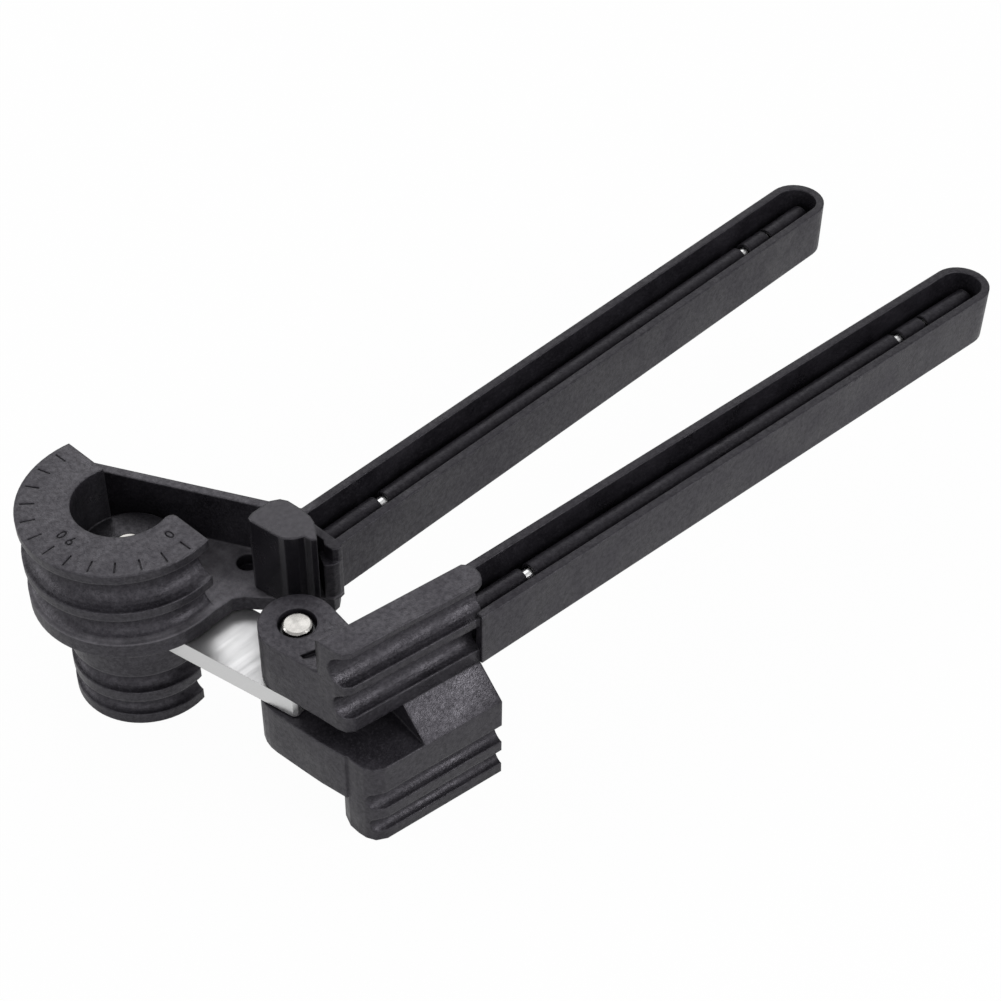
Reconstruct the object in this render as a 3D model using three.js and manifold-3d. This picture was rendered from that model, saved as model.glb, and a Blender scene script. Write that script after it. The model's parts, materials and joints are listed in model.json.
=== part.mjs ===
import * as THREE from "three";
import { mergeVertices } from "three/addons/utils/BufferGeometryUtils.js";
import Module from "manifold-3d";

const wasm = await Module();
wasm.setup();

// Hand tube bender for 5, 6, 8 and 10 mm tube. Millimetres, +Z up.
// The former's axis is the Z axis, its handle points along +X and the lower former stands on Z = 0.

// Tessellation and fits
const WELD = 1e-3;
const ROUND_STEPS = 72;
const SMALL_STEPS = 32;
const BAR_STEPS = 28;
const CORNER_STEPS = 6;
const FIT_GAP = 0.3;
const CUT_EXTRA = 1;

// Tubes and their grooves, which are half round and half a tube deep
const GROOVE_CLEARANCE = 0.4;
const TUBE_SMALL = 5;
const TUBE_MEDIUM = 6;
const TUBE_LARGE = 8;
const TUBE_LARGEST = 10;
const GROOVE_SMALL = TUBE_SMALL + GROOVE_CLEARANCE / 2;
const GROOVE_MEDIUM = TUBE_MEDIUM + GROOVE_CLEARANCE;
const GROOVE_LARGE = TUBE_LARGE + 1.5 * GROOVE_CLEARANCE;
const GROOVE_LARGEST = TUBE_LARGEST + GROOVE_CLEARANCE;

// Heights of the two formers, from the bottom up
const RIM_BOTTOM = 3.3;
const RIM_MIDDLE = 3.4;
const COLLAR = 9.2;
const LINK_GAP = 6.8;
const NECK_PLATE = 4.8;
const RIM_UPPER = 2.7;
const FLANGE = 2.7;
const SMALL_LOW = RIM_BOTTOM;
const SMALL_HIGH = SMALL_LOW + GROOVE_SMALL;
const MEDIUM_LOW = SMALL_HIGH + RIM_MIDDLE;
const MEDIUM_HIGH = MEDIUM_LOW + GROOVE_MEDIUM;
const COLLAR_TOP = MEDIUM_HIGH + COLLAR;
const PLATE_LOW = COLLAR_TOP + LINK_GAP;
const PLATE_TOP = PLATE_LOW + NECK_PLATE;
const LARGE_HIGH = PLATE_TOP + GROOVE_LARGE;
const LARGEST_LOW = LARGE_HIGH + RIM_UPPER;
const LARGEST_HIGH = LARGEST_LOW + GROOVE_LARGEST;
const FLANGE_TOP = LARGEST_HIGH + FLANGE;
const SMALL_MID = (SMALL_LOW + SMALL_HIGH) / 2;
const MEDIUM_MID = (MEDIUM_LOW + MEDIUM_HIGH) / 2;
const LARGE_MID = (PLATE_TOP + LARGE_HIGH) / 2;
const LARGEST_MID = (LARGEST_LOW + LARGEST_HIGH) / 2;

// Upper former
const UPPER_RADIUS = 26.8;
const POCKET_RADIUS = 13;
const POCKET_FLOOR = 46.5;
const CUT_FAR = 4.1;
const CUT_NEAR = 6.1;
const CUT_CORNER_SHARES = [
  [0.26, -0.5],
  [0.26, -0.955],
  [0.37, -0.963],
  [0.444, -1.005],
  [0.469, -1.08],
];
const TICK_COUNT = 13;
const TICK_STEP = 15;
const TICK_ZERO_ANGLE = -88;
const TICK_INNER = 21.7;
const TICK_OUTER = 25.5;
const TICK_WIDTH = 0.5;
const ENGRAVING = 0.4;
const DIGIT_HEIGHT = 3;
const DIGIT_WIDTH = 1.9;
const DIGIT_STROKE = 0.5;
const DIGIT_PITCH = 3.4;
const DIGIT_RADIUS = 17.9;

// Neck plate and rear wall
const FAR_ANGLE = 73.2;
const NEAR_ANGLE = 280;
const NECK_SHARES = [
  [0.41, -0.985],
  [0.515, -1.052],
  [0.619, -1.179],
  [0.821, -1.403],
  [1.03, -1.627],
  [1.083, -1.692],
  [1.16, -1.679],
  [1.232, -1.62],
  [1.29, -1.56],
  [1.45, -1.42],
];
const NECK_HOLE_SHARES = [[0.84, -0.735]];
const NECK_HOLE_DIAMETER = 6.3;
const NECK_HOLE_FLOOR = 1;
const WALL_END_SHARES = [[1.295, -1.03]];
const WALL_THICKNESS = 2.5;
const WALL_LEAD = 3;

// Handles
const HANDLE_TOP = 55.5;
const HANDLE_WALL = 2.3;
const HANDLE_FLOOR = 3.4;
const RIB_RADIUS = 3.2;
const ROD_RADIUS = 2;
const ROD_HEIGHT = 48.6;
const WINDOW_LENGTH = 3;
const NOTCH_LENGTH = 1.4;
const HANDLE_SIDE_SHARE = -1.351;
const HANDLE_START_SHARE = 1.157;
const FORMER_HALF_WIDTH = 8.3;
const FORMER_HANDLE_LOW = 39.8;
const FORMER_HANDLE_TIP = 238.2;
const FORMER_WINDOW_NEAR = 54.7;
const FORMER_WINDOW_FAR = 204.3;
const FORMER_ROD_START = 44;
const NOTCH_STEP = 11;
const ROD_TAIL = 2.6;
const ROOT_SHARES = [
  [1.116, -1.47],
  [1.037, -1.627],
  [1.105, -1.687],
  [1.165, -1.7],
  [1.22, -1.69],
  [1.241, -1.66],
  [1.241, -1.47],
];
const ROOT_STEP = 51;
const ROOT_TOP_SHARES = [
  [1.16, -1.5],
  [1.118, -1.56],
  [1.128, -1.66],
  [1.175, -1.69],
  [1.22, -1.69],
  [1.241, -1.66],
  [1.241, -1.5],
];

// Lever frame: its origin is the lever pin, seen from the former's axis
const SHOE_CLEARANCE = 2.292;
const LINK_ANGLE = -79.6;
const LEVER_TURN = -9;
const LEVER_HALF_WIDTH = 8.3;
const LEVER_HANDLE_LOW = 39;
const LEVER_HANDLE_LEAD = 11.4;
const LEVER_HANDLE_SIDE = -17;
const LEVER_HANDLE_DROP = 4;
const LEVER_HANDLE_TURN = 4.2;
const LEVER_HANDLE_TIP = 187.1;
const LEVER_WINDOW_NEAR = 7.7;
const LEVER_WINDOW_FAR = 151;
const LEVER_ROD_START = -2;

// Lever head, whose outlines are shares of a shoe's length and depth
const HUB_RADIUS = 9.8;
const HUB_TOP = 51;
const HUB_ARC_ANGLE = 188;
const HUB_LOW = 11.6;
const LOWER_HUB_RADIUS = 10.8;
const LOWER_ARC_ANGLE = 194;
const SHOE_TOP = 62.7;
const SHOE_DEPTH = 25.2;
const SHOE_LENGTH = 39.3;
const LOWER_DEPTH = 34.4;
const LOWER_LENGTH = 37.3;
const SHOE_CORNER_SHARES = [
  [-0.132, -0.659],
  [-0.097, -0.869],
  [-0.069, -0.956],
  [-0.018, -1],
];
const HEAD_SHARE = 0.95;
const HEAD_END_SHARES = [
  [HEAD_SHARE, -1],
  [HEAD_SHARE, -0.421],
  [0.356, -0.421],
  [0.249, -0.322],
];
const SHOE_END_SHARES = [
  [0.931, -1],
  [0.975, -0.964],
  [1, -0.885],
  [1, -0.802],
  [0.982, -0.73],
  [0.949, -0.683],
  [-0.125, -0.69],
];
const SLOPE_START_SHARE = -0.051;
const SLOPE_END_SHARE = 0.93;
const SLOPE_TOP_SHARE = 0.683;
const SLOPE_FOOT_SHARE = 0.496;
const RECESS_SHARES = [
  [-0.135, -0.425],
  [-0.051, -0.492],
  [-0.005, -0.492],
  [-0.005, -0.405],
  [-0.135, -0.37],
];
const RECESS_DEPTH = 1.1;
const ARM_SHARES = [
  [-0.229, -0.32],
  [-0.186, -0.512],
  [-0.121, -0.738],
  [0, -0.756],
  [0.268, -0.756],
  [0.389, -0.523],
];
const LOWER_SHOE_SHARES = [
  [-0.013, -0.523],
  [-0.083, -0.64],
  [-0.107, -0.741],
  [-0.097, -0.834],
  [-0.08, -0.901],
  [-0.04, -0.965],
  [0.035, -1],
  [1, -1],
  [1, -0.596],
  [0.214, -0.596],
];
const WEB_START = 13.5;
const WEB_BACK = -14.5;

// Link
const LINK_WIDTH = 19.2;
const LINK_END = 5.4;
const LINK_CORNER = 1;
const LINK_CLEARANCE = 0.4;
const LINK_LOW = COLLAR_TOP + LINK_CLEARANCE;
const LINK_TOP = PLATE_LOW - LINK_CLEARANCE;

// Lower former
const LOWER_RADIUS = 19;
const LOWER_CUT_SHARES = [
  [0.22, -2],
  [0.22, -0.55],
  [0.395, -0.3],
  [0.395, 2],
  [2, 2],
  [2, -2],
];
const BOSS_RADIUS = 5.5;
const BUSH_WALL = 1;
const KEY_WIDTH = 8;
const KEY_HEIGHT = 3.4;

// Pins, washers and clips
const PIN_RADIUS = 2.5;
const CENTRE_HEAD_RADIUS = 4;
const CENTRE_HEAD_TOP = 48.5;
const LEVER_HEAD_RADIUS = 3.8;
const HEAD_DOME = 0.5;
const COUNTERBORE_RADIUS = 4.7;
const COUNTERBORE_DEPTH = 3.2;
const WASHER_THICKNESS = 0.6;
const WASHER_RADIUS = 4.4;
const CENTRE_WASHER_RADIUS = 4.8;
const CLIP_THICKNESS = 0.8;
const CLIP_RADIUS = 4.2;
const CLIP_OPENING = 3.4;
const CLIP_GRIP = 0.4;
const PIN_TAIL = 0.5;

// Retaining block and its peg
const PEG_SHARES = [[0.8955, -1.2687]];
const PEG_RADIUS = 3;
const PEG_HEAD_RADIUS = 4.2;
const PEG_HEAD_HEIGHT = 1.6;
const BLOCK_LIFT = 0.4;
const BLOCK_ROOF = 4;
const BLOCK_RECESS_RADIUS = 4.9;
const BLOCK_RECESS_DEPTH = 1.8;
const BLOCK_SHARES = [
  [0.672, -1.022],
  [0.743, -0.996],
  [0.966, -0.996],
  [1.049, -1.045],
  [1.086, -1.116],
  [1.093, -1.224],
  [1.097, -1.31],
  [1.09, -1.414],
  [1.063, -1.5],
  [1.004, -1.59],
  [0.922, -1.694],
  [0.881, -1.653],
  [0.869, -1.575],
  [0.806, -1.549],
  [0.757, -1.507],
  [0.713, -1.459],
  [0.698, -1.407],
  [0.657, -1.063],
];

// Places that follow from the sizes above
const [NECK_HOLE] = scaled(NECK_HOLE_SHARES, UPPER_RADIUS);
const WALL_FAR = polar(UPPER_RADIUS, FAR_ANGLE);
const [WALL_NEAR] = scaled(WALL_END_SHARES, UPPER_RADIUS);
const FORMER_HANDLE_START = HANDLE_START_SHARE * UPPER_RADIUS;
const FORMER_HANDLE_SIDE = HANDLE_SIDE_SHARE * UPPER_RADIUS;
const LINK_LENGTH = UPPER_RADIUS + SHOE_DEPTH + SHOE_CLEARANCE;
const LEVER_PIVOT = polar(LINK_LENGTH, LINK_ANGLE);
const LEVER_HANDLE_ALONG = SHOE_LENGTH + LEVER_HANDLE_LEAD;
const HEAD_LENGTH = HEAD_SHARE * SHOE_LENGTH;
const LEVER_HANDLE_START = HEAD_LENGTH - LEVER_HANDLE_ALONG - CUT_EXTRA;
const [PEG_SPOT] = scaled(PEG_SHARES, UPPER_RADIUS);

// Points of an outline from its shares of a width and a depth
function scaled(shares, width, depth = width) {
  return shares.map(([x, y]) => [x * width, y * depth]);
}

function polar(radius, degrees) {
  const angle = THREE.MathUtils.degToRad(degrees);
  return [radius * Math.cos(angle), radius * Math.sin(angle)];
}

// Solids from three.js geometry
function solid(geometry) {
  geometry.deleteAttribute("normal");
  geometry.deleteAttribute("uv");
  const merged = mergeVertices(geometry, WELD);
  const vertProperties = merged.attributes.position.array;
  const triVerts = new Uint32Array(merged.index.array);
  return new wasm.Manifold(new wasm.Mesh({ numProp: 3, vertProperties, triVerts }));
}

function prism(outline, low, high) {
  const shape = new THREE.Shape(outline.map(([x, y]) => new THREE.Vector2(x, y)));
  const geometry = new THREE.ExtrudeGeometry(shape, { depth: high - low, bevelEnabled: false });
  return solid(geometry.translate(0, 0, low));
}

function disc(radius, low, high, [x, y] = [0, 0], steps = SMALL_STEPS) {
  const geometry = new THREE.CylinderGeometry(radius, radius, high - low, steps);
  geometry.rotateX(Math.PI / 2);
  return solid(geometry.translate(x, y, (low + high) / 2));
}

function bar(radius, from, to, y, z) {
  const geometry = new THREE.CylinderGeometry(radius, radius, to - from, BAR_STEPS);
  geometry.rotateZ(Math.PI / 2);
  return solid(geometry.translate((from + to) / 2, y, z));
}

function box([x0, x1], [y0, y1], [z0, z1]) {
  const geometry = new THREE.BoxGeometry(x1 - x0, y1 - y0, z1 - z0);
  return solid(geometry.translate((x0 + x1) / 2, (y0 + y1) / 2, (z0 + z1) / 2));
}

function turned(profile, steps = ROUND_STEPS) {
  const points = profile.map(([radius, height]) => new THREE.Vector2(radius, height));
  const geometry = new THREE.LatheGeometry(points, steps);
  return solid(geometry.rotateX(Math.PI / 2));
}

function arc([x, y], radius, from, to, steps) {
  const points = [];
  for (let i = 0; i <= steps; i += 1) {
    const [dx, dy] = polar(radius, from + ((to - from) * i) / steps);
    points.push([x + dx, y + dy]);
  }
  return points;
}

// A half-round groove in a turned profile, from its lower lip to its upper lip
function grooveProfile(radius, middle, grooveRadius) {
  return arc([radius, middle], grooveRadius, 270, 90, BAR_STEPS / 2);
}

function stadium(start, tip, halfWidth) {
  const cap = arc([tip - halfWidth, 0], halfWidth, -90, 90, SMALL_STEPS / 2);
  return [[start, -halfWidth], ...cap, [start, halfWidth]];
}

// An open-topped handle along +X, with a round-topped rib that holds the rod
function handle({ start, open, tip, halfWidth, low, windowNear, windowFar, rodStart }) {
  const inner = halfWidth - HANDLE_WALL;
  const floor = low + HANDLE_FLOOR;
  let body = prism(stadium(start, tip, halfWidth), low, HANDLE_TOP);
  const trough = stadium(open, tip - HANDLE_WALL, inner);
  body = body.subtract(prism(trough, floor, HANDLE_TOP + CUT_EXTRA));
  const ribEnd = tip - HANDLE_WALL - RIB_RADIUS;
  const base = [floor - CUT_EXTRA, ROD_HEIGHT];
  body = body.add(bar(RIB_RADIUS, open - CUT_EXTRA, ribEnd, 0, ROD_HEIGHT));
  body = body.add(box([open - CUT_EXTRA, ribEnd], [-RIB_RADIUS, RIB_RADIUS], base));
  const bore = [rodStart - FIT_GAP, rodEnd(windowFar) + FIT_GAP];
  body = body.subtract(bar(ROD_RADIUS + FIT_GAP, ...bore, 0, ROD_HEIGHT));
  const gaps = [
    [windowNear, WINDOW_LENGTH],
    [windowFar, WINDOW_LENGTH],
    [windowFar + NOTCH_STEP, NOTCH_LENGTH],
  ];
  for (const [x, length] of gaps) {
    const span = [x - length / 2, x + length / 2];
    body = body.subtract(box(span, [-inner, inner], [ROD_HEIGHT - ROD_RADIUS, HANDLE_TOP]));
  }
  return body;
}

function rodEnd(windowFar) {
  return windowFar + NOTCH_STEP + ROD_TAIL;
}

function ring(outer, inner, low, high, spot, steps) {
  const hole = disc(inner, low - CUT_EXTRA, high + CUT_EXTRA, spot, steps);
  return disc(outer, low, high, spot, steps).subtract(hole);
}

// A retaining clip: a ring with one open side
function clip(outer, inner, low, high, [x, y] = [0, 0]) {
  const mouth = box(
    [x, x + outer + CUT_EXTRA],
    [y - CLIP_OPENING / 2, y + CLIP_OPENING / 2],
    [low - CUT_EXTRA, high + CUT_EXTRA],
  );
  return ring(outer, inner, low, high, [x, y]).subtract(mouth);
}

// A headed pin with a dome on its head and a groove for its clip
function headedPin({ headRadius, headTop, headLow, tail, clipLow }) {
  const neck = PIN_RADIUS - CLIP_GRIP - FIT_GAP;
  return turned(
    [
      [0, tail],
      [PIN_RADIUS - CLIP_GRIP, tail],
      [PIN_RADIUS, tail + CLIP_GRIP],
      [PIN_RADIUS, clipLow - FIT_GAP],
      [neck, clipLow - FIT_GAP],
      [neck, clipLow + CLIP_THICKNESS + FIT_GAP],
      [PIN_RADIUS, clipLow + CLIP_THICKNESS + FIT_GAP],
      [PIN_RADIUS, headLow],
      [headRadius, headLow],
      [headRadius, headTop - HEAD_DOME],
      [headRadius - HEAD_DOME, headTop - HEAD_DOME / 4],
      [0, headTop],
    ],
    SMALL_STEPS,
  );
}

function digitZero() {
  const outer = new THREE.CylinderGeometry(1, 1, 1, SMALL_STEPS);
  outer.rotateX(Math.PI / 2);
  const inner = outer.clone();
  outer.scale(DIGIT_WIDTH / 2, DIGIT_HEIGHT / 2, 2 * ENGRAVING);
  inner.scale(DIGIT_WIDTH / 2 - DIGIT_STROKE, DIGIT_HEIGHT / 2 - DIGIT_STROKE, 4 * ENGRAVING);
  return solid(outer).subtract(solid(inner));
}

function digitNine() {
  const loopRadius = DIGIT_WIDTH / 2;
  const centre = [0, DIGIT_HEIGHT / 2 - loopRadius];
  const loop = ring(loopRadius, loopRadius - DIGIT_STROKE, -ENGRAVING, ENGRAVING, centre);
  const stem = [
    [loopRadius - DIGIT_STROKE, centre[1]],
    [-DIGIT_STROKE / 2, -DIGIT_HEIGHT / 2],
    [DIGIT_STROKE / 2, -DIGIT_HEIGHT / 2],
    [loopRadius, centre[1]],
  ];
  return loop.add(prism(stem, -ENGRAVING, ENGRAVING));
}

// A figure inside the scale at an angle, with its top outwards
function beside(figure, angle) {
  const outwards = figure.translate([0, DIGIT_RADIUS, 0]);
  return outwards.rotate([0, 0, angle - 90]);
}

function scaleMarks() {
  const marks = [];
  for (let i = 0; i < TICK_COUNT; i += 1) {
    const tick = box(
      [TICK_INNER, TICK_OUTER],
      [-TICK_WIDTH / 2, TICK_WIDTH / 2],
      [-ENGRAVING, ENGRAVING],
    );
    marks.push(tick.rotate([0, 0, TICK_ZERO_ANGLE - i * TICK_STEP]));
  }
  marks.push(beside(digitZero(), TICK_ZERO_ANGLE));
  const nine = digitNine().translate([-DIGIT_PITCH / 2, 0, 0]);
  const zero = digitZero().translate([DIGIT_PITCH / 2, 0, 0]);
  marks.push(beside(nine.add(zero), TICK_ZERO_ANGLE - 90));
  return marks.map((mark) => mark.translate([0, 0, FLANGE_TOP]));
}

// The upper former, the neck plate, the rear wall and the handle are one moulding
function formerHandle() {
  let body = turned([
    [0, PLATE_LOW],
    [UPPER_RADIUS, PLATE_LOW],
    [UPPER_RADIUS, PLATE_TOP],
    ...grooveProfile(UPPER_RADIUS, LARGE_MID, GROOVE_LARGE / 2),
    ...grooveProfile(UPPER_RADIUS, LARGEST_MID, GROOVE_LARGEST / 2),
    [UPPER_RADIUS, FLANGE_TOP],
    [0, FLANGE_TOP],
  ]);
  const reach = 2 * UPPER_RADIUS;
  const above = [PLATE_TOP, FLANGE_TOP + CUT_EXTRA];
  const cut = [
    [CUT_FAR, reach],
    [CUT_FAR, POCKET_RADIUS / 2],
    ...scaled(CUT_CORNER_SHARES, POCKET_RADIUS),
    [CUT_NEAR, -reach],
    [reach, -reach],
    [reach, reach],
  ];
  body = body.subtract(prism(cut, ...above));
  const floor = disc(POCKET_RADIUS + FIT_GAP, PLATE_LOW, POCKET_FLOOR, [0, 0], ROUND_STEPS);
  const pocket = disc(POCKET_RADIUS, POCKET_FLOOR, FLANGE_TOP + CUT_EXTRA, [0, 0], ROUND_STEPS);
  body = body.add(floor).subtract(pocket);
  const wallDirection = [WALL_NEAR[0] - WALL_FAR[0], WALL_NEAR[1] - WALL_FAR[1]];
  const wallLength = Math.hypot(...wallDirection);
  const inward = [
    (wallDirection[1] / wallLength) * WALL_THICKNESS,
    (-wallDirection[0] / wallLength) * WALL_THICKNESS,
  ];
  const behind = [
    WALL_FAR,
    [WALL_FAR[0] + reach, WALL_FAR[1] + reach],
    [WALL_NEAR[0] + reach, WALL_NEAR[1]],
    WALL_NEAR,
  ];
  body = body.subtract(prism(behind, PLATE_LOW - CUT_EXTRA, FLANGE_TOP + CUT_EXTRA));
  const neckEdge = scaled(NECK_SHARES, UPPER_RADIUS);
  const neckEnd = neckEdge.at(-1)[0];
  const plate = [...arc([0, 0], UPPER_RADIUS, FAR_ANGLE, NEAR_ANGLE, ROUND_STEPS / 2), ...neckEdge];
  plate.push([neckEnd, FORMER_HANDLE_SIDE + FORMER_HALF_WIDTH], WALL_NEAR);
  body = body.add(prism(plate, PLATE_LOW, PLATE_TOP));
  const wall = [
    WALL_FAR,
    [WALL_FAR[0] - WALL_LEAD, WALL_FAR[1]],
    [WALL_FAR[0] + inward[0], WALL_FAR[1] + inward[1]],
    [WALL_NEAR[0] + inward[0], WALL_NEAR[1] + inward[1]],
    [WALL_NEAR[0] + inward[0], WALL_NEAR[1] - HANDLE_WALL],
    [WALL_NEAR[0] + HANDLE_WALL, WALL_NEAR[1] - HANDLE_WALL],
    WALL_NEAR,
  ];
  body = body.add(prism(wall, PLATE_LOW, HANDLE_TOP));
  const grip = handle({
    start: FORMER_HANDLE_START,
    open: FORMER_HANDLE_START + HANDLE_WALL,
    tip: FORMER_HANDLE_TIP,
    halfWidth: FORMER_HALF_WIDTH,
    low: FORMER_HANDLE_LOW,
    windowNear: FORMER_WINDOW_NEAR,
    windowFar: FORMER_WINDOW_FAR,
    rodStart: FORMER_ROD_START,
  });
  const under = box(
    [FORMER_HANDLE_START, neckEnd],
    [0, FORMER_HALF_WIDTH],
    [PLATE_LOW, FORMER_HANDLE_LOW + CUT_EXTRA],
  );
  body = body.add(grip.add(under).translate([0, FORMER_HANDLE_SIDE, 0]));
  const root = scaled(ROOT_SHARES, UPPER_RADIUS);
  body = body.add(prism(root, PLATE_TOP - CUT_EXTRA, ROOT_STEP));
  const rootTop = scaled(ROOT_TOP_SHARES, UPPER_RADIUS);
  body = body.add(prism(rootTop, ROOT_STEP - CUT_EXTRA, HANDLE_TOP));
  for (const mark of scaleMarks()) body = body.subtract(mark);
  const through = [PLATE_LOW - CUT_EXTRA, FLANGE_TOP];
  body = body.subtract(disc(NECK_HOLE_DIAMETER / 2, PLATE_LOW + NECK_HOLE_FLOOR, FLANGE_TOP, NECK_HOLE));
  body = body.subtract(disc(PIN_RADIUS + FIT_GAP, ...through));
  body = body.subtract(disc(PEG_RADIUS + FIT_GAP, ...through, PEG_SPOT));
  const pegSeat = [through[0], PLATE_LOW + PEG_HEAD_HEIGHT + FIT_GAP];
  body = body.subtract(disc(PEG_HEAD_RADIUS + FIT_GAP, ...pegSeat, PEG_SPOT));
  const socket = KEY_WIDTH / 2 + FIT_GAP;
  const keySeat = [through[0], PLATE_LOW + KEY_HEIGHT + FIT_GAP];
  return body.subtract(box([-socket, socket], [-socket, socket], keySeat));
}

function lowerFormer() {
  let body = turned([
    [0, 0],
    [LOWER_RADIUS, 0],
    [LOWER_RADIUS, SMALL_LOW],
    ...grooveProfile(LOWER_RADIUS, SMALL_MID, GROOVE_SMALL / 2),
    ...grooveProfile(LOWER_RADIUS, MEDIUM_MID, GROOVE_MEDIUM / 2),
    [LOWER_RADIUS, COLLAR_TOP],
    [0, COLLAR_TOP],
  ]);
  const cut = scaled(LOWER_CUT_SHARES, LOWER_RADIUS);
  body = body.subtract(prism(cut, -CUT_EXTRA, COLLAR_TOP + CUT_EXTRA));
  body = body.add(disc(BOSS_RADIUS, COLLAR_TOP - CUT_EXTRA, PLATE_LOW));
  const half = KEY_WIDTH / 2;
  const key = box([-half, half], [-half, half], [PLATE_LOW - CUT_EXTRA, PLATE_LOW + KEY_HEIGHT]);
  body = body.add(key.intersect(disc(BOSS_RADIUS, COLLAR_TOP, PLATE_TOP)));
  body = body.subtract(disc(PIN_RADIUS + FIT_GAP, -CUT_EXTRA, PLATE_TOP));
  return body.subtract(disc(COUNTERBORE_RADIUS + FIT_GAP, -CUT_EXTRA, COUNTERBORE_DEPTH));
}

function linkPlate() {
  const half = LINK_WIDTH / 2;
  const end = LINK_LENGTH + LINK_END;
  const far = [
    [end - LINK_CORNER, -half],
    [end, LINK_CORNER - half],
    [end, half - LINK_CORNER],
    [end - LINK_CORNER, half],
  ];
  const near = arc([0, 0], half, 90, 270, SMALL_STEPS);
  const body = prism([...far, ...near], LINK_LOW, LINK_TOP).rotate([0, 0, LINK_ANGLE]);
  const hole = [LINK_LOW - CUT_EXTRA, LINK_TOP + CUT_EXTRA];
  const eye = disc(BOSS_RADIUS + BUSH_WALL + 2 * FIT_GAP, ...hole);
  const pinEye = disc(PIN_RADIUS + BUSH_WALL + 2 * FIT_GAP, ...hole, LEVER_PIVOT);
  return body.subtract(eye).subtract(pinEye);
}

// The lever's hubs, shoes and handle are one moulding, drawn in the lever frame
function leverHandle() {
  const corner = scaled(SHOE_CORNER_SHARES, SHOE_LENGTH, SHOE_DEPTH);
  const headEnd = scaled(HEAD_END_SHARES, SHOE_LENGTH, SHOE_DEPTH);
  const hub = arc([0, 0], HUB_RADIUS, 0, HUB_ARC_ANGLE, SMALL_STEPS / 2);
  let body = prism([...hub, ...corner, ...headEnd], PLATE_LOW, HUB_TOP);
  const strip = [...corner, ...scaled(SHOE_END_SHARES, SHOE_LENGTH, SHOE_DEPTH)];
  body = body.add(prism(strip, HUB_TOP - CUT_EXTRA, SHOE_TOP)).add(slope());
  const recess = scaled(RECESS_SHARES, SHOE_LENGTH, SHOE_DEPTH);
  body = body.subtract(prism(recess, HUB_TOP - RECESS_DEPTH, HUB_TOP + CUT_EXTRA));
  const start = -2 * HUB_RADIUS;
  body = body.subtract(bar(GROOVE_LARGEST / 2, start, SHOE_LENGTH, -SHOE_DEPTH, LARGEST_MID));
  body = body.subtract(bar(GROOVE_LARGE / 2, start, HEAD_LENGTH, -SHOE_DEPTH, LARGE_MID));
  const grip = handle({
    start: LEVER_HANDLE_START,
    open: LEVER_HANDLE_START - CUT_EXTRA,
    tip: LEVER_HANDLE_TIP,
    halfWidth: LEVER_HALF_WIDTH,
    low: LEVER_HANDLE_LOW,
    windowNear: LEVER_WINDOW_NEAR,
    windowFar: LEVER_WINDOW_FAR,
    rodStart: LEVER_ROD_START,
  });
  body = body.add(alongLever(grip));
  const lowerHub = arc([0, 0], LOWER_HUB_RADIUS, 0, LOWER_ARC_ANGLE, SMALL_STEPS / 2);
  const arm = [...lowerHub, ...scaled(ARM_SHARES, LOWER_LENGTH, LOWER_DEPTH)];
  body = body.add(prism(arm, HUB_LOW, COLLAR_TOP));
  let shoe = prism(scaled(LOWER_SHOE_SHARES, LOWER_LENGTH, LOWER_DEPTH), 0, COLLAR_TOP);
  const lowerGrooves = [start, LOWER_LENGTH + CUT_EXTRA, -LOWER_DEPTH];
  shoe = shoe.subtract(bar(GROOVE_MEDIUM / 2, ...lowerGrooves, MEDIUM_MID));
  shoe = shoe.subtract(bar(GROOVE_SMALL / 2, ...lowerGrooves, SMALL_MID));
  body = body.add(shoe).add(web());
  body = body.subtract(disc(PIN_RADIUS + FIT_GAP, 0, HUB_TOP + CUT_EXTRA));
  const mouth = COUNTERBORE_RADIUS + FIT_GAP;
  body = body.subtract(disc(mouth, HUB_TOP - COUNTERBORE_DEPTH, HUB_TOP + CUT_EXTRA));
  return body.subtract(disc(mouth, HUB_LOW - CUT_EXTRA, HUB_LOW + COUNTERBORE_DEPTH));
}

// From the handle's own frame to the lever frame
function alongLever(piece) {
  const turnedPiece = piece.rotate([0, 0, LEVER_HANDLE_TURN]);
  return turnedPiece.translate([LEVER_HANDLE_ALONG, LEVER_HANDLE_SIDE, -LEVER_HANDLE_DROP]);
}

// A section given by [y, z], run along X
function extrusion(section, from, to) {
  return prism(section, from, to).rotate([90, 0, 90]);
}

// The sloping back of the upper shoe
function slope() {
  const top = -SLOPE_TOP_SHARE * SHOE_DEPTH;
  const foot = -SLOPE_FOOT_SHARE * SHOE_DEPTH;
  const section = [
    [top - CUT_EXTRA, HUB_TOP - CUT_EXTRA],
    [foot, HUB_TOP - CUT_EXTRA],
    [foot, HUB_TOP],
    [top, SHOE_TOP],
    [top - CUT_EXTRA, SHOE_TOP],
  ];
  return extrusion(section, SLOPE_START_SHARE * SHOE_LENGTH, SLOPE_END_SHARE * SHOE_LENGTH);
}

// The slanted web that joins the lower shoe to the upper one beside the link's slot
function web() {
  const section = [
    [-LOWER_DEPTH, COLLAR_TOP - CUT_EXTRA],
    [-LOWER_DEPTH, COLLAR_TOP],
    [-SHOE_DEPTH, PLATE_LOW],
    [-SHOE_DEPTH, PLATE_LOW + CUT_EXTRA],
    [WEB_BACK, PLATE_LOW + CUT_EXTRA],
    [WEB_BACK, COLLAR_TOP - CUT_EXTRA],
  ];
  return extrusion(section, WEB_START, LOWER_LENGTH);
}

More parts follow.
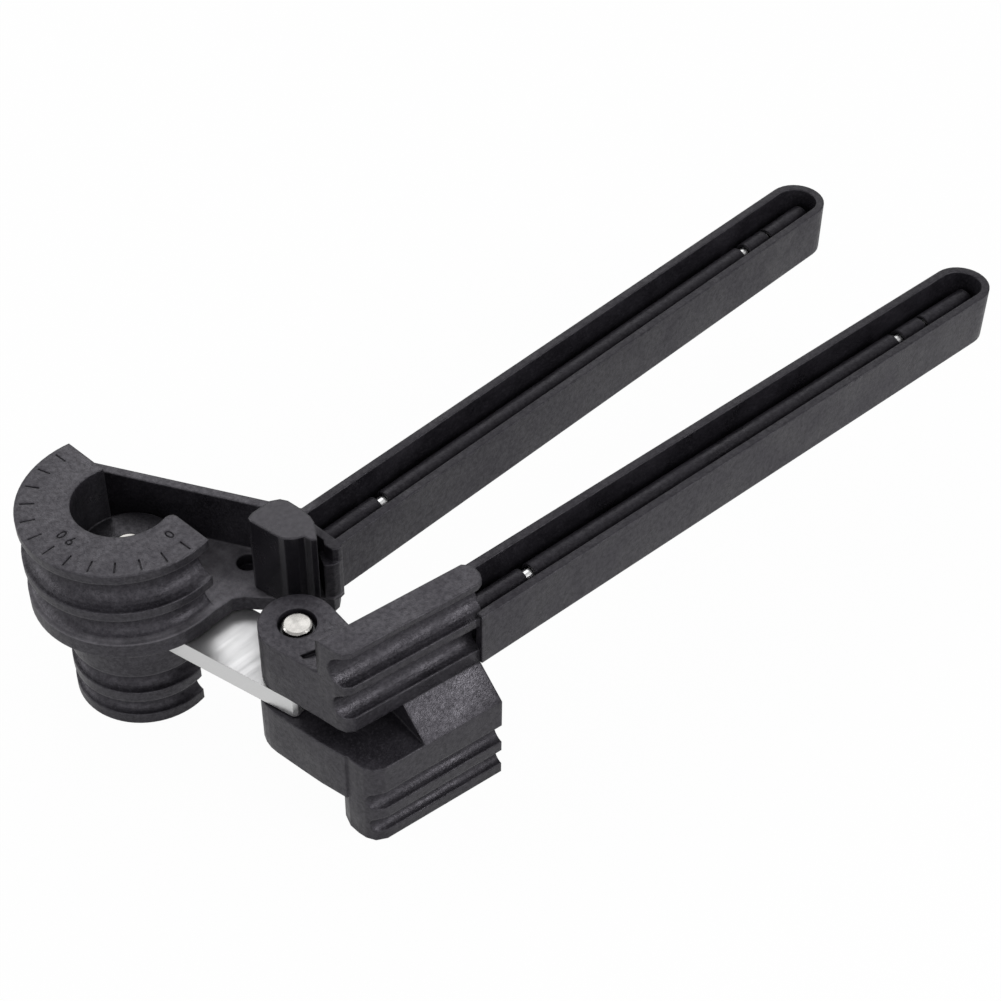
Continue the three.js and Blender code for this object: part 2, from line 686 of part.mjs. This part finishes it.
function retainingBlock() {
  const low = PLATE_TOP + BLOCK_LIFT;
  let body = prism(scaled(BLOCK_SHARES, UPPER_RADIUS), low, FLANGE_TOP);
  body = body.subtract(disc(PEG_RADIUS + FIT_GAP, low - CUT_EXTRA, FLANGE_TOP - BLOCK_ROOF, PEG_SPOT));
  const recess = [low - CUT_EXTRA, low + BLOCK_RECESS_DEPTH];
  return body.subtract(disc(BLOCK_RECESS_RADIUS, ...recess, PEG_SPOT));
}

// Assembly
const tool = new THREE.Group();
tool.name = "tube_bender";
const lever = new THREE.Group();
lever.name = "lever_frame";
lever.position.set(...LEVER_PIVOT, 0);
lever.rotation.z = THREE.MathUtils.degToRad(LEVER_TURN);
tool.add(lever);

const NYLON = 0x1c1c1e;
const STEEL = 0xc9ccd0;
const BRONZE = 0xb08d57;

function place(parent, name, body, color) {
  const { vertProperties, triVerts } = body.getMesh();
  const geometry = new THREE.BufferGeometry();
  geometry.setAttribute("position", new THREE.BufferAttribute(vertProperties, 3));
  geometry.setIndex(new THREE.BufferAttribute(triVerts, 1));
  const mesh = new THREE.Mesh(geometry, new THREE.MeshStandardMaterial({ color }));
  mesh.name = name;
  parent.add(mesh);
}

place(tool, "former_handle", formerHandle(), NYLON);
place(tool, "lower_former", lowerFormer(), NYLON);
place(tool, "link_plate", linkPlate(), STEEL);
place(lever, "lever_handle", leverHandle(), NYLON);
place(tool, "retaining_block", retainingBlock(), NYLON);

const formerRodSpan = [FORMER_ROD_START, rodEnd(FORMER_WINDOW_FAR)];
const formerRod = bar(ROD_RADIUS, ...formerRodSpan, FORMER_HANDLE_SIDE, ROD_HEIGHT);
place(tool, "former_handle_rod", formerRod, STEEL);
const leverRod = bar(ROD_RADIUS, LEVER_ROD_START, rodEnd(LEVER_WINDOW_FAR), 0, ROD_HEIGHT);
place(lever, "lever_handle_rod", alongLever(leverRod), STEEL);

const bushInner = BOSS_RADIUS + FIT_GAP;
const formerBush = ring(bushInner + BUSH_WALL, bushInner, LINK_LOW, LINK_TOP);
place(tool, "link_former_bush", formerBush, BRONZE);
const pinBushInner = PIN_RADIUS + FIT_GAP;
const pinBush = ring(pinBushInner + BUSH_WALL, pinBushInner, LINK_LOW, LINK_TOP, LEVER_PIVOT);
place(tool, "link_lever_bush", pinBush, BRONZE);

// Former pin with its washers and clip
const formerWasherLow = POCKET_FLOOR + FIT_GAP / 2;
const formerWasherTop = formerWasherLow + WASHER_THICKNESS;
const pinHole = PIN_RADIUS + FIT_GAP;
const formerWasher = ring(CENTRE_WASHER_RADIUS, pinHole, formerWasherLow, formerWasherTop);
place(tool, "former_pin_washer", formerWasher, STEEL);
const formerClipLow = COUNTERBORE_DEPTH - 2 * FIT_GAP - WASHER_THICKNESS - CLIP_THICKNESS;
place(
  tool,
  "former_pin",
  headedPin({
    headRadius: CENTRE_HEAD_RADIUS,
    headTop: CENTRE_HEAD_TOP,
    headLow: formerWasherTop + FIT_GAP / 2,
    tail: PIN_TAIL,
    clipLow: formerClipLow,
  }),
  STEEL,
);
const clipInner = PIN_RADIUS - CLIP_GRIP;
const lowerWasherTop = COUNTERBORE_DEPTH - FIT_GAP;
const lowerWasherLow = lowerWasherTop - WASHER_THICKNESS;
const formerLowerWasher = ring(WASHER_RADIUS, pinHole, lowerWasherLow, lowerWasherTop);
place(tool, "former_pin_lower_washer", formerLowerWasher, STEEL);
const formerClip = clip(CLIP_RADIUS, clipInner, formerClipLow, formerClipLow + CLIP_THICKNESS);
place(tool, "former_pin_clip", formerClip, STEEL);

// Lever pin with its washers and clip
const leverWasherLow = HUB_TOP - COUNTERBORE_DEPTH + FIT_GAP;
const leverWasherTop = leverWasherLow + WASHER_THICKNESS;
const leverWasher = ring(WASHER_RADIUS, pinHole, leverWasherLow, leverWasherTop);
place(lever, "lever_pin_washer", leverWasher, STEEL);
const leverClipLow = HUB_LOW + formerClipLow;
place(
  lever,
  "lever_pin",
  headedPin({
    headRadius: LEVER_HEAD_RADIUS,
    headTop: HUB_TOP,
    headLow: leverWasherTop + FIT_GAP,
    tail: HUB_LOW + PIN_TAIL,
    clipLow: leverClipLow,
  }),
  STEEL,
);
const leverLowerSpan = [HUB_LOW + lowerWasherLow, HUB_LOW + lowerWasherTop];
const leverLowerWasher = ring(WASHER_RADIUS, pinHole, ...leverLowerSpan);
place(lever, "lever_pin_lower_washer", leverLowerWasher, STEEL);
const leverClip = clip(CLIP_RADIUS, clipInner, leverClipLow, leverClipLow + CLIP_THICKNESS);
place(lever, "lever_pin_clip", leverClip, STEEL);

// Peg of the retaining block with its clip
const pegTop = FLANGE_TOP - BLOCK_ROOF - FIT_GAP;
const pegClipLow = PLATE_TOP + FIT_GAP;
const pegGroove = PEG_RADIUS - CLIP_GRIP - FIT_GAP;
const peg = turned(
  [
    [0, PLATE_LOW],
    [PEG_HEAD_RADIUS, PLATE_LOW],
    [PEG_HEAD_RADIUS, PLATE_LOW + PEG_HEAD_HEIGHT],
    [PEG_RADIUS, PLATE_LOW + PEG_HEAD_HEIGHT],
    [PEG_RADIUS, pegClipLow - FIT_GAP],
    [pegGroove, pegClipLow - FIT_GAP],
    [pegGroove, pegClipLow + CLIP_THICKNESS + FIT_GAP],
    [PEG_RADIUS, pegClipLow + CLIP_THICKNESS + FIT_GAP],
    [PEG_RADIUS, pegTop],
    [0, pegTop],
  ],
  SMALL_STEPS,
).translate([...PEG_SPOT, 0]);
place(tool, "retaining_peg", peg, STEEL);
const pegClipSpan = [pegClipLow, pegClipLow + CLIP_THICKNESS];
const pegClip = clip(PEG_HEAD_RADIUS, PEG_RADIUS - CLIP_GRIP, ...pegClipSpan, PEG_SPOT);
place(tool, "retaining_peg_clip", pegClip, STEEL);

// The origin is the middle of the tool's outline, on the bottom plane
const extent = new THREE.Box3().setFromObject(tool, true);
const middle = extent.getCenter(new THREE.Vector3());
tool.position.set(-middle.x, -middle.y, -extent.min.z);

export default tool;
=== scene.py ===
import json
import math

import bpy
from mathutils import Matrix, Vector

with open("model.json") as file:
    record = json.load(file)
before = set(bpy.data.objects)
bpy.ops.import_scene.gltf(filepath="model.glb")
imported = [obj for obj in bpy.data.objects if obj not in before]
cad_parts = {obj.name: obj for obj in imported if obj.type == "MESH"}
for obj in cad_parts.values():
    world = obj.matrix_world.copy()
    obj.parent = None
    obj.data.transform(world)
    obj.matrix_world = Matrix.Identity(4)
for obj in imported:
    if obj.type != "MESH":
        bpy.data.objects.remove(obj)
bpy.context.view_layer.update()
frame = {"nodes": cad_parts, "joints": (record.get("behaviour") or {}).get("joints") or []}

# Lengths are in metres, a noise's scale in waves per metre and a lamp's power in watts.
# A range is (low, high), and a noise is read between the two values of its band.

# The camera, placed from the formers' axis on the bottom plane
CAMERA_OFFSET = Vector((-0.21336, -0.32974, 0.43065))
CAMERA_RIGHT = Vector((0.68994, -0.72380, 0.01002))
CAMERA_FORWARD = Vector((0.52732, 0.49307, -0.69197))
CAMERA_LENS = 75.80
SENSOR_WIDTH = 36.0
CLIP_NEAR = 0.01
CLIP_FAR = 20.0

# Floor and surroundings. They look white, and the tool's shine sees them a little dimmer.
FLOOR_SIZE = 12.0
FLOOR_DROP = 0.0002
FLOOR_COLOR = (0.86, 0.86, 0.86, 1)
FLOOR_WHITE = 0.97
FLOOR_GLOW = 1.0
FLOOR_GLOSS = 0.68
WORLD_DIFFUSE = 0.40
WORLD_GLOSS = 0.76
WORLD_TINT = (1.0, 1.0, 1.0, 1)

# Lamps: name, place, what it points at, size across and along, power
LAMPS = (
    ("key_light", (0.60, 0.66, 0.92), (0.0, 0.0, 0.04), (0.9, 0.7), 3.4),
    ("back_light", (-0.45, 0.80, 0.55), (-0.05, 0.0, 0.04), (0.6, 0.35), 2.4),
    ("side_light", (-0.95, -0.15, 0.40), (-0.05, -0.02, 0.04), (0.4, 0.5), 1.0),
    ("front_light", (0.28, -0.78, 0.62), (0.0, -0.04, 0.03), (0.4, 0.4), 4.0),
    ("fill_light", (-0.70, -0.80, 0.55), (-0.06, 0.0, 0.03), (0.7, 0.6), 2.0),
)

# Colours of the nylon
NYLON_DARK = (0.0095, 0.0088, 0.0110, 1)
NYLON_LIGHT = (0.0165, 0.0153, 0.0190, 1)
NYLON_TINT = (0.94, 0.90, 1.0, 1)
# Painted shade: the retaining block's colours are a darker copy of the nylon's
BLOCK_SHADED_DARK = (0.0060, 0.0056, 0.0070, 1)
BLOCK_SHADED_LIGHT = (0.0100, 0.0093, 0.0115, 1)
FLECK_COLOR = (0.055, 0.052, 0.061, 1)
# Partly wear, partly painted highlight: the lighter grey laid on sharp edges
WORN_AND_HIGHLIT_COLOR = (0.065, 0.063, 0.070, 1)
# Painted shade: the near-black laid into the former's bearing pocket
POCKET_SHADE_COLOR = (0.006, 0.006, 0.007, 1)
# Painted light: the pale grey laid in patches on the former's neck plate
PLATE_LIGHT_COLOR = (0.120, 0.115, 0.127, 1)

# Finish of the nylon, as moulded and on the smoother retaining block
NYLON_ROUGH = (0.27, 0.50)
NYLON_GLOSS = 0.5
NYLON_GRAIN = 0.7
NYLON_FLECKS = 0.35
NYLON_MOTTLING = 0.36
BLOCK_ROUGH = (0.20, 0.28)
BLOCK_GLOSS = 0.34
BLOCK_GRAIN = 0.12
BLOCK_FLECKS = 0.05
BLOCK_MOTTLING = 0.15
FLECK_ROUGH = 0.4
# Painted shade: the share of shine left in hollows
SHADED_GLOSS = 0.3
# Painted shade: the share of shine left on the grips' upper faces
GRIP_SHADE_GLOSS = 0.4

# Noises of the nylon: scale, detail, roughness and band
CLOUDS = (70, 4.0, 0.65, (0.35, 0.65))
# Partly wear, partly painted highlight: the patches of the edges' lighter grey
FLECKS = (1500, 2.0, 0.7, (0.50, 0.74))
RUBS_AND_HIGHLIGHTS = (160, 3.0, 0.6, (0.4, 0.7))
MOTTLE = (800, 3.0, 0.65, (0.34, 0.66))
# Painted light: the patches of the neck plate's pale grey
PLATE_LIGHT_PATCHES = (240, 4.0, 0.65, (0.38, 0.66))
RUB_AND_HIGHLIGHT_SHARE = (0.15, 0.8)
PLATE_LIGHT_SHARE = (0.45, 1.0)
SWELL = (320, 3.0, 0.6)
SWELL_SHARE = 0.8
GRAIN = (2200, 2.0, 0.6)
GRAIN_DEPTH = 0.00012

# Edges: how far they are rounded, how far their lighter colour reaches, partly wear and partly painted
# highlight, and the bend at which it starts and is full
EDGE_ROUNDING = 0.0008
WEAR_AND_HIGHLIGHT_RADIUS = 0.0006
WEAR_AND_HIGHLIGHT_BEND = (0.995, 0.90)
BEVEL_SAMPLES = 6

# Painted shade: hollows lose their shine; how far a point looks about, and its free share
HOLLOW_REACH = 0.010
HOLLOW_SHARE = (0.35, 0.80)
HOLLOW_SAMPLES = 8

# Slope from which a face counts as looking up, and from which it fully does
UPWARD_SLOPE = (0.2, 0.8)

# Places on the former with painted shade, darker towards the bottom of the bearing pocket, and painted
# light in patches on the neck plate
POCKET_REACH = 0.0133
POCKET_BLUR = 0.0004
POCKET_SHADE_AMOUNT = 0.85
FLANGE_HEIGHT = 0.0635
POCKET_SHADE_DEPTH = (0.0045, 0.0003)
PLATE_HEIGHT = 0.0391
PLATE_BLUR = (0.0002, 0.0006)

# Where the painted shade on the grips' upper faces begins and where it is full, from the hinge
GRIP_SHADE_REACH = (0.042, 0.050)

# Streaks and stains of the metals
STREAKS = (1.0, 2.0, 0.6)
STREAK_BAND = (0.3, 0.7)
STREAK_STRENGTH = 0.25
STREAK_DEPTH = 0.00003
STAINS = (90, 3.0, 0.6, (0.4, 0.75))
STAIN_SHARE = 0.5
STAIN_TONE = 0.72
METAL_ROUNDING = 0.0003

nodes = frame["nodes"]
places = {joint["name"]: Vector(joint["pos_m"]) for joint in frame["joints"]}
former_axis = Vector((places["link_swing"].x, places["link_swing"].y, 0))
link_line = places["lever_swing"] - places["link_swing"]
link_turn = math.atan2(link_line.y, link_line.x)

# The metals and their pieces. A streak is its scale along x, y and z, after its turn about z.
METALS = {
    "bright_plate": {
        "pieces": ["link_plate"],
        "color": (0.50, 0.50, 0.505),
        "side_color": (0.80, 0.80, 0.80),
        "streak": (26.0, 900.0, 900.0),
        "turn": link_turn,
        "rough": (0.28, 0.40),
        "metallic": 0.95,
    },
    "drawn_bar": {
        "pieces": ["former_handle_rod", "lever_handle_rod"],
        "color": (0.70, 0.70, 0.70),
        "streak": (26.0, 1400.0, 1400.0),
        "rough": (0.22, 0.36),
    },
    "plated_pin": {
        "pieces": ["former_pin", "lever_pin", "retaining_peg"],
        "color": (0.37, 0.36, 0.345),
        "streak": (600.0, 600.0, 600.0),
        "rough": (0.20, 0.34),
    },
    "dark_washer": {
        "pieces": [
            "former_pin_washer",
            "former_pin_lower_washer",
            "lever_pin_washer",
            "lever_pin_lower_washer",
        ],
        "color": (0.05, 0.05, 0.052),
        "streak": (500.0, 500.0, 500.0),
        "rough": (0.30, 0.45),
    },
    "spring_steel": {
        "pieces": ["former_pin_clip", "lever_pin_clip", "retaining_peg_clip"],
        "color": (0.10, 0.10, 0.105),
        "streak": (500.0, 500.0, 500.0),
        "rough": (0.30, 0.45),
    },
    "turned_bronze": {
        "pieces": ["link_former_bush", "link_lever_bush"],
        "color": (0.55, 0.38, 0.20),
        "streak": (80.0, 80.0, 2500.0),
        "rough": (0.25, 0.40),
    },
}


class Graph:
    """A short way to lay out the nodes of one material."""

    def __init__(self, name):
        self.material = bpy.data.materials.new(name)
        self.material.use_nodes = True
        self.tree = self.material.node_tree
        self.shader = next(node for node in self.tree.nodes if node.type == "BSDF_PRINCIPLED")
        self.coords = self.tree.nodes.new("ShaderNodeTexCoord").outputs["Object"]

    def link(self, source, target):
        self.tree.links.new(source, target)

    def set(self, name, value):
        self.shader.inputs[name].default_value = value

    def feed(self, name, source):
        self.link(source, self.shader.inputs[name])

    def mapping(self, scale, turn):
        node = self.tree.nodes.new("ShaderNodeMapping")
        node.inputs["Scale"].default_value = scale
        node.inputs["Rotation"].default_value = (0, 0, turn)
        self.link(self.coords, node.inputs["Vector"])
        return node.outputs["Vector"]

    def noise(self, scale, detail, roughness, vector=None):
        node = self.tree.nodes.new("ShaderNodeTexNoise")
        node.inputs["Scale"].default_value = scale
        node.inputs["Detail"].default_value = detail
        node.inputs["Roughness"].default_value = roughness
        self.link(vector or self.coords, node.inputs["Vector"])
        return node.outputs["Fac"]

    def spread(self, value, band, to=(0.0, 1.0)):
        """Maps a band of a value to another range, and holds it there outside the band."""
        node = self.tree.nodes.new("ShaderNodeMapRange")
        node.inputs["From Min"].default_value, node.inputs["From Max"].default_value = band
        node.inputs["To Min"].default_value, node.inputs["To Max"].default_value = to
        self.link(value, node.inputs["Value"])
        return node.outputs["Result"]

    def patches(self, kind, to=(0.0, 1.0)):
        scale, detail, roughness, band = kind
        return self.spread(self.noise(scale, detail, roughness), band, to)

    def blend(self, factor, first, second):
        node = self.tree.nodes.new("ShaderNodeMix")
        node.data_type = "RGBA"
        self.link(factor, node.inputs["Factor"])
        for socket, value in ((node.inputs["A"], first), (node.inputs["B"], second)):
            if isinstance(value, tuple):
                socket.default_value = value
            else:
                self.link(value, socket)
        return node.outputs["Result"]

    def math(self, operation, first, second):
        node = self.tree.nodes.new("ShaderNodeMath")
        node.operation = operation
        for socket, value in zip(node.inputs, (first, second)):
            if isinstance(value, (int, float)):
                socket.default_value = value
            else:
                self.link(value, socket)
        return node.outputs["Value"]

    def times(self, first, second):
        return self.math("MULTIPLY", first, second)

    def rounded(self, radius):
        """The surface direction with its sharp edges rounded."""
        bevel = self.tree.nodes.new("ShaderNodeBevel")
        bevel.samples = BEVEL_SAMPLES
        bevel.inputs["Radius"].default_value = radius
        return bevel.outputs["Normal"]

    def openness(self, distance):
        """How freely a point lies to its surroundings, from 0 to 1."""
        node = self.tree.nodes.new("ShaderNodeAmbientOcclusion")
        node.samples = HOLLOW_SAMPLES
        node.inputs["Distance"].default_value = distance
        return node.outputs["AO"]

    def direction(self):
        return self.tree.nodes.new("ShaderNodeNewGeometry").outputs["Normal"]

    def up_part(self, vector):
        split = self.tree.nodes.new("ShaderNodeSeparateXYZ")
        self.link(vector, split.inputs["Vector"])
        return split.outputs["Z"]

    def height(self):
        return self.up_part(self.coords)

    def upward(self):
        """How far a surface faces up, from 0 to 1."""
        return self.spread(self.up_part(self.direction()), UPWARD_SLOPE)

    def edge_wear_and_highlight(self):
        """How near a point lies to a sharp edge, from 0 to 1."""
        dot = self.tree.nodes.new("ShaderNodeVectorMath")
        dot.operation = "DOT_PRODUCT"
        self.link(self.rounded(WEAR_AND_HIGHLIGHT_RADIUS), dot.inputs[0])
        self.link(self.direction(), dot.inputs[1])
        return self.spread(dot.outputs["Value"], WEAR_AND_HIGHLIGHT_BEND)

    def reach(self, spot):
        """How far a point lies from the upright line through a spot."""
        flat = self.tree.nodes.new("ShaderNodeMapping")
        flat.inputs["Scale"].default_value = (1, 1, 0)
        flat.inputs["Location"].default_value = (-spot.x, -spot.y, 0)
        self.link(self.coords, flat.inputs["Vector"])
        length = self.tree.nodes.new("ShaderNodeVectorMath")
        length.operation = "LENGTH"
        self.link(flat.outputs["Vector"], length.inputs[0])
        return length.outputs["Value"]

    def bump(self, height, strength, depth, rounding):
        node = self.tree.nodes.new("ShaderNodeBump")
        self.link(self.rounded(rounding), node.inputs["Normal"])
        node.inputs["Strength"].default_value = strength
        node.inputs["Distance"].default_value = depth
        self.link(height, node.inputs["Height"])
        self.feed("Normal", node.outputs["Normal"])


def former_shade_and_light(graph, color, axis):
    """Painted shade in the bearing pocket, darker towards its bottom, and painted light in patches on the
    neck plate.
    """
    # Painted shade: the pocket darkens towards its bottom
    inside = graph.spread(graph.reach(axis), (POCKET_REACH - POCKET_BLUR, POCKET_REACH), (1.0, 0.0))
    depths = tuple(FLANGE_HEIGHT - depth for depth in POCKET_SHADE_DEPTH)
    below = graph.spread(graph.height(), depths, (POCKET_SHADE_AMOUNT, 0.0))
    shaded_pocket = graph.blend(graph.times(inside, below), color, POCKET_SHADE_COLOR)
    # Painted light: pale patches on the neck plate
    off_plate = graph.math("ABSOLUTE", graph.math("SUBTRACT", graph.height(), PLATE_HEIGHT), 0.0)
    on_plate = graph.spread(off_plate, PLATE_BLUR, (1.0, 0.0))
    return graph.blend(graph.times(on_plate, graph.patches(PLATE_LIGHT_PATCHES, PLATE_LIGHT_SHARE)), shaded_pocket, PLATE_LIGHT_COLOR)


def nylon_material(
    name,
    tones=(NYLON_DARK, NYLON_LIGHT),
    rough=NYLON_ROUGH,
    grain=NYLON_GRAIN,
    fleck_share=NYLON_FLECKS,
    gloss=NYLON_GLOSS,
    mottling=NYLON_MOTTLING,
    hinge=None,
    stains_and_painted_light=False,
):
    """Black moulded nylon. A hinge gives the upper faces of its grip painted shade as a lower shine, and
    the painted pocket shade and neck plate light are the former's alone.
    """
    graph = Graph(name)
    cloud = graph.patches(CLOUDS)
    fleck = graph.patches(FLECKS)
    flecked = graph.blend(graph.times(fleck, fleck_share), graph.blend(cloud, *tones), FLECK_COLOR)
    # Sharp edges turn lighter, partly as wear and partly as painted highlight
    rubbed_and_highlit = graph.times(graph.edge_wear_and_highlight(), graph.patches(RUBS_AND_HIGHLIGHTS, RUB_AND_HIGHLIGHT_SHARE))
    color = graph.blend(rubbed_and_highlit, flecked, WORN_AND_HIGHLIT_COLOR)
    if stains_and_painted_light:
        color = former_shade_and_light(graph, color, hinge)
    graph.feed("Base Color", color)

    # Painted shade: the shine drops in hollows
    shine = graph.spread(graph.openness(HOLLOW_REACH), HOLLOW_SHARE, (SHADED_GLOSS * gloss, gloss))
    # Painted shade: the grips' upward faces lose shine away from the hinge
    if hinge:
        grip = graph.times(graph.upward(), graph.spread(graph.reach(hinge), GRIP_SHADE_REACH))
        shine = graph.times(shine, graph.spread(grip, (0.0, 1.0), (1.0, GRIP_SHADE_GLOSS)))
    mottle = graph.patches(MOTTLE, (1.0 - mottling, 1.0 + mottling))
    graph.feed("Specular IOR Level", graph.times(shine, mottle))
    graph.set("Specular Tint", NYLON_TINT)

    satin = graph.spread(cloud, (0.0, 1.0), rough)
    graph.feed("Roughness", graph.math("ADD", satin, graph.times(fleck, FLECK_ROUGH * fleck_share)))
    swell = graph.times(graph.noise(*SWELL), SWELL_SHARE)
    graph.bump(graph.math("ADD", graph.noise(*GRAIN), swell), grain, GRAIN_DEPTH, EDGE_ROUNDING)
    return graph.material


def metal_material(name, color, streak, rough, turn=0.0, metallic=1.0, side_color=None):
    """Streaked metal with stains. The upright faces may have a colour of their own."""
    graph = Graph(name)
    lines = graph.noise(*STREAKS, graph.mapping(streak, turn))
    stains_and_painted_light = tuple(value * STAIN_TONE for value in color) + (1,)
    tone = graph.blend(graph.times(graph.patches(STAINS), STAIN_SHARE), color + (1,), stains_and_painted_light)
    if side_color:
        tone = graph.blend(graph.upward(), side_color + (1,), tone)
    graph.feed("Base Color", tone)
    graph.set("Metallic", metallic)
    graph.feed("Roughness", graph.spread(lines, STREAK_BAND, rough))
    graph.bump(lines, STREAK_STRENGTH, STREAK_DEPTH, METAL_ROUNDING)
    return graph.material


def dress(pieces, material):
    for piece in pieces:
        materials = nodes[piece].data.materials
        materials.clear()
        materials.append(material)


def own_place(piece, place):
    """A place of the frame in a piece's own coordinates."""
    return nodes[piece].matrix_world.inverted() @ place


former_hinge = own_place("former_handle", former_axis)
lever_hinge = own_place("lever_handle", places["lever_swing"])
# The retaining block's nylon has the darker painted-shade colours and a smoother finish
block_nylon = nylon_material(
    "block_nylon",
    (BLOCK_SHADED_DARK, BLOCK_SHADED_LIGHT),
    BLOCK_ROUGH,
    BLOCK_GRAIN,
    BLOCK_FLECKS,
    BLOCK_GLOSS,
    BLOCK_MOTTLING,
)
dress(["lower_former"], nylon_material("black_nylon"))
dress(["lever_handle"], nylon_material("lever_nylon", hinge=lever_hinge))
# The former gets the painted pocket shade and the painted neck plate light
dress(["former_handle"], nylon_material("former_nylon", hinge=former_hinge, stains_and_painted_light=True))
dress(["retaining_block"], block_nylon)
for metal, values in METALS.items():
    finish = {key: value for key, value in values.items() if key != "pieces"}
    dress(values["pieces"], metal_material(metal, **finish))


def stepped(tree, seen, strength_seen, strength_else):
    """One strength for the rays of a kind, and another for the rest."""
    node = tree.nodes.new("ShaderNodeMath")
    node.operation = "MULTIPLY_ADD"
    node.inputs[1].default_value = strength_seen - strength_else
    node.inputs[2].default_value = strength_else
    tree.links.new(seen, node.inputs[0])
    return node.outputs["Value"]


def larger(tree, first, second):
    node = tree.nodes.new("ShaderNodeMath")
    node.operation = "MAXIMUM"
    tree.links.new(first, node.inputs[0])
    tree.links.new(second, node.inputs[1])
    return node.outputs["Value"]


def floor_material():
    """A pale floor that keeps the tool's shadow, white to the camera and in the tool's shine."""
    material = bpy.data.materials.new("floor_white")
    material.use_nodes = True
    tree = material.node_tree
    tree.nodes.clear()
    output = tree.nodes.new("ShaderNodeOutputMaterial")
    path = tree.nodes.new("ShaderNodeLightPath").outputs
    diffuse = tree.nodes.new("ShaderNodeBsdfDiffuse")
    diffuse.inputs["Color"].default_value = FLOOR_COLOR
    glow = tree.nodes.new("ShaderNodeEmission")
    tree.links.new(stepped(tree, path["Is Glossy Ray"], FLOOR_GLOSS, FLOOR_GLOW), glow.inputs["Strength"])
    seen = larger(tree, path["Is Camera Ray"], path["Is Glossy Ray"])
    mix = tree.nodes.new("ShaderNodeMixShader")
    tree.links.new(stepped(tree, seen, FLOOR_WHITE, 0.0), mix.inputs[0])
    tree.links.new(diffuse.outputs[0], mix.inputs[1])
    tree.links.new(glow.outputs[0], mix.inputs[2])
    tree.links.new(mix.outputs[0], output.inputs["Surface"])
    return material


def build_world():
    world = bpy.data.worlds.new("studio")
    world.use_nodes = True
    tree = world.node_tree
    tree.nodes.clear()
    output = tree.nodes.new("ShaderNodeOutputWorld")
    background = tree.nodes.new("ShaderNodeBackground")
    background.inputs["Color"].default_value = WORLD_TINT
    path = tree.nodes.new("ShaderNodeLightPath").outputs
    gloss = stepped(tree, path["Is Glossy Ray"], WORLD_GLOSS, WORLD_DIFFUSE)
    tree.links.new(larger(tree, gloss, path["Is Camera Ray"]), background.inputs["Strength"])
    tree.links.new(background.outputs[0], output.inputs["Surface"])
    bpy.context.scene.world = world


def area_light(name, place, target, size, power):
    light = bpy.data.lights.new(name, "AREA")
    light.shape = "RECTANGLE"
    light.size, light.size_y = size
    light.energy = power
    lamp = bpy.data.objects.new(name, light)
    bpy.context.scene.collection.objects.link(lamp)
    lamp.location = Vector(place)
    lamp.rotation_euler = (Vector(target) - Vector(place)).to_track_quat("-Z", "Y").to_euler()


def build_camera():
    camera_data = bpy.data.cameras.new("photo_camera")
    camera_data.lens = CAMERA_LENS
    camera_data.sensor_width = SENSOR_WIDTH
    camera_data.sensor_fit = "HORIZONTAL"
    camera_data.clip_start = CLIP_NEAR
    camera_data.clip_end = CLIP_FAR
    camera = bpy.data.objects.new("photo_camera", camera_data)
    bpy.context.scene.collection.objects.link(camera)
    forward = CAMERA_FORWARD.normalized()
    right = (CAMERA_RIGHT - forward * CAMERA_RIGHT.dot(forward)).normalized()
    turn = Matrix((right, right.cross(forward), -forward)).transposed()
    camera.matrix_world = Matrix.Translation(former_axis + CAMERA_OFFSET) @ turn.to_4x4()
    return camera


bpy.ops.mesh.primitive_plane_add(size=FLOOR_SIZE, location=(0, 0, -FLOOR_DROP))
floor = bpy.context.object
floor.name = "floor"
floor.data.materials.append(floor_material())

for lamp_values in LAMPS:
    area_light(*lamp_values)
build_world()
bpy.context.scene.view_settings.view_transform = "Standard"
bpy.context.scene.camera = build_camera()

bpy.context.view_layer.update()
